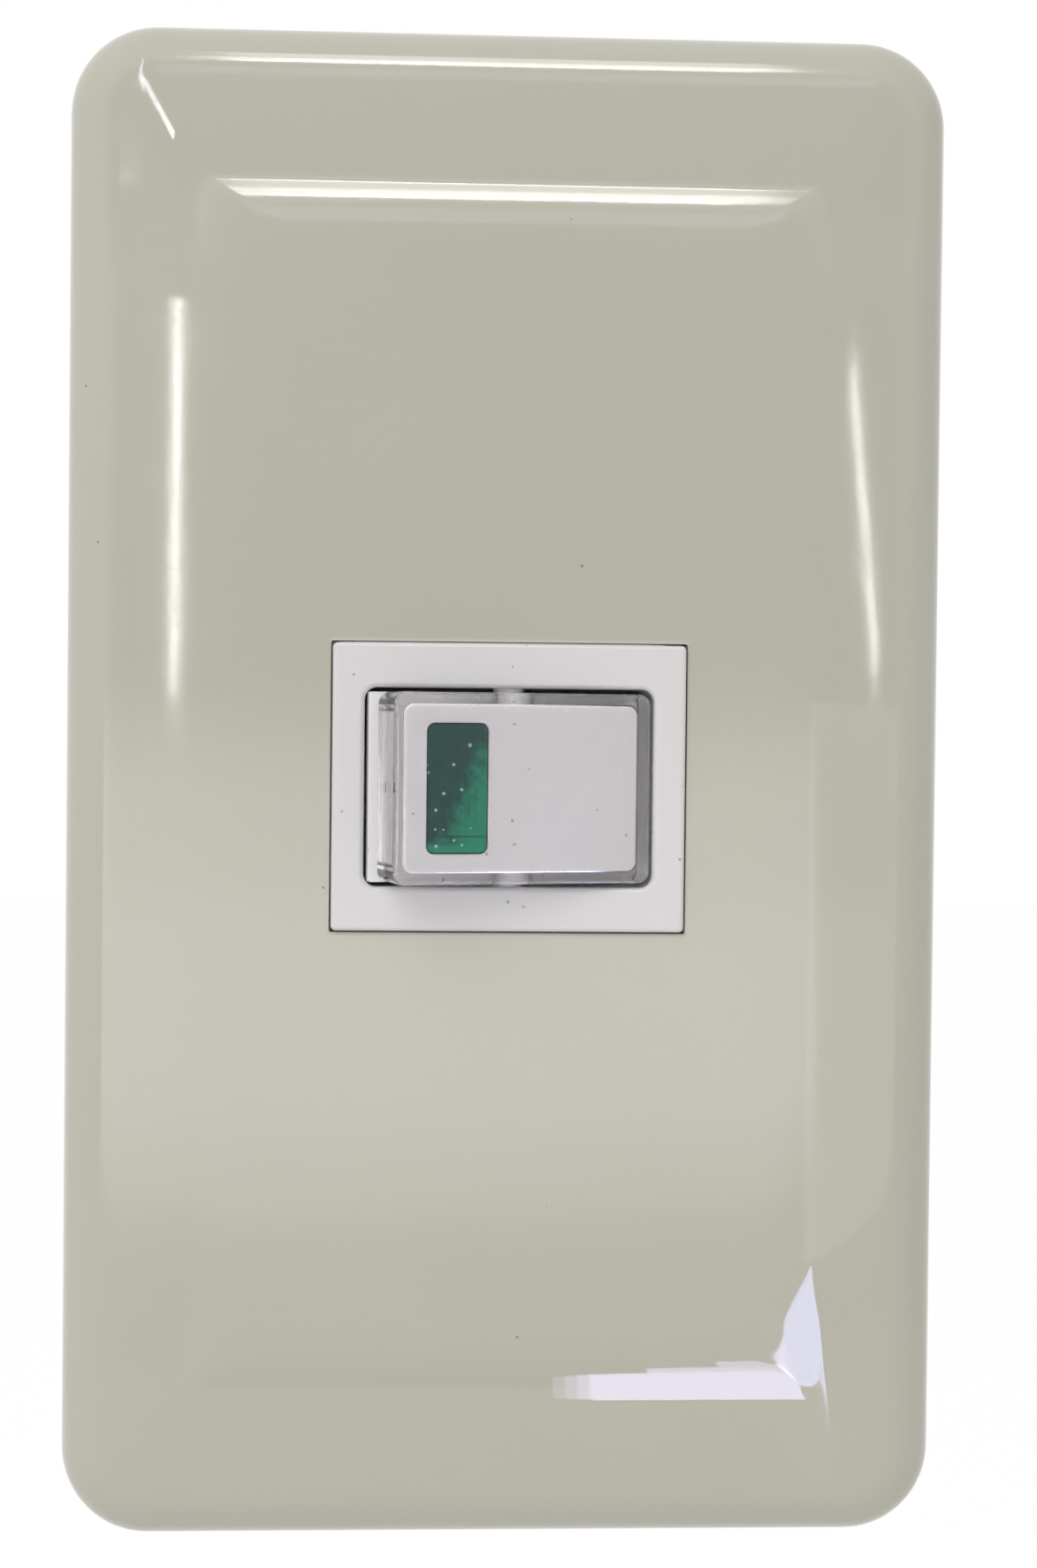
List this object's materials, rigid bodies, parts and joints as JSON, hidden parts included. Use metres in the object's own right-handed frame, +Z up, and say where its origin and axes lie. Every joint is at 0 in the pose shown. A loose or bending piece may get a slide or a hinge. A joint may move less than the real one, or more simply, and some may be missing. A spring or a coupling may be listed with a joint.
{
  "type": "wall switch",
  "caption": "Single-gang wall switch: clip-on ivory plate with a central rocker module, clear rocker cap and green pilot window, on a steel strap.",
  "frame": {"origin": "centre of the wall plane behind the switch, where the plate's rim and the strap's back meet the wall", "axes": "+Z up along the plate's long side, +Y into the wall, the front faces -Y, +X to the right as seen from the front"},
  "size_m": [0.07, 0.0372, 0.12],
  "materials": {
    "ivory_plastic": "gloss",
    "white_plastic": "semi-gloss",
    "grey_plastic": "matt",
    "base_plastic": "satin",
    "clear_plastic": "polished",
    "green_lens": "polished",
    "zinc_steel": "zinc plated",
    "zinc_screw": "zinc plated",
    "brass": "turned",
    "copper_alloy": "rolled",
    "silver": "polished",
    "spring_steel": "drawn",
    "lamp_glass": "polished",
    "resistor_body": "lacquered",
    "tinned_wire": "tinned"
  },
  "bodies": {
    "switch_body": {"face_plate": "ivory_plastic", "inner_frame": "grey_plastic", "plate_screw_upper": "zinc_screw", "plate_screw_lower": "zinc_screw", "mounting_strap": "zinc_steel", "box_screw_upper": "zinc_screw", "box_screw_lower": "zinc_screw", "module_bezel": "white_plastic", "module_base": "base_plastic", "line_terminal_block": "brass", "load_terminal_block": "brass", "line_terminal_screw": "zinc_screw", "load_terminal_screw": "zinc_screw", "fulcrum_strip": "copper_alloy", "contact_strip": "copper_alloy", "fixed_contact": "silver", "pilot_lamp": "lamp_glass", "lamp_resistor": "resistor_body", "lamp_lead_line": "tinned_wire", "lamp_lead_load": "tinned_wire", "resistor_lead": "tinned_wire"},
    "rocker": {"rocker": "white_plastic", "rocker_cap": "clear_plastic", "indicator_lens": "green_lens", "plunger_spring": "spring_steel"},
    "plunger": {"plunger": "brass"},
    "contact_arm": {"contact_arm": "copper_alloy", "moving_contact": "silver"}
  },
  "joints": [
    {"name": "rocker_tilt", "type": "hinge", "parent": "switch_body", "child": "rocker", "pos_m": [0, -0.0071, 0], "axis": [0, 0, -1], "range_deg": [0, 28]},
    {"name": "contact_tilt", "type": "hinge", "parent": "switch_body", "child": "contact_arm", "pos_m": [0, 0.0046, 0], "axis": [0, 0, 1], "range_deg": [0, 18]},
    {"name": "plunger_slide", "type": "slide", "parent": "rocker", "child": "plunger", "axis": [0.2419, -0.9703, 0], "range_m": [0, 0.0012], "stiffness_N_per_m": 300, "springref_m": -0.003, "deforming": ["plunger_spring"]}
  ],
  "couplings": [
    {"joint": "contact_tilt", "follows": "rocker_tilt", "ratio": 0.64286}
  ]
}
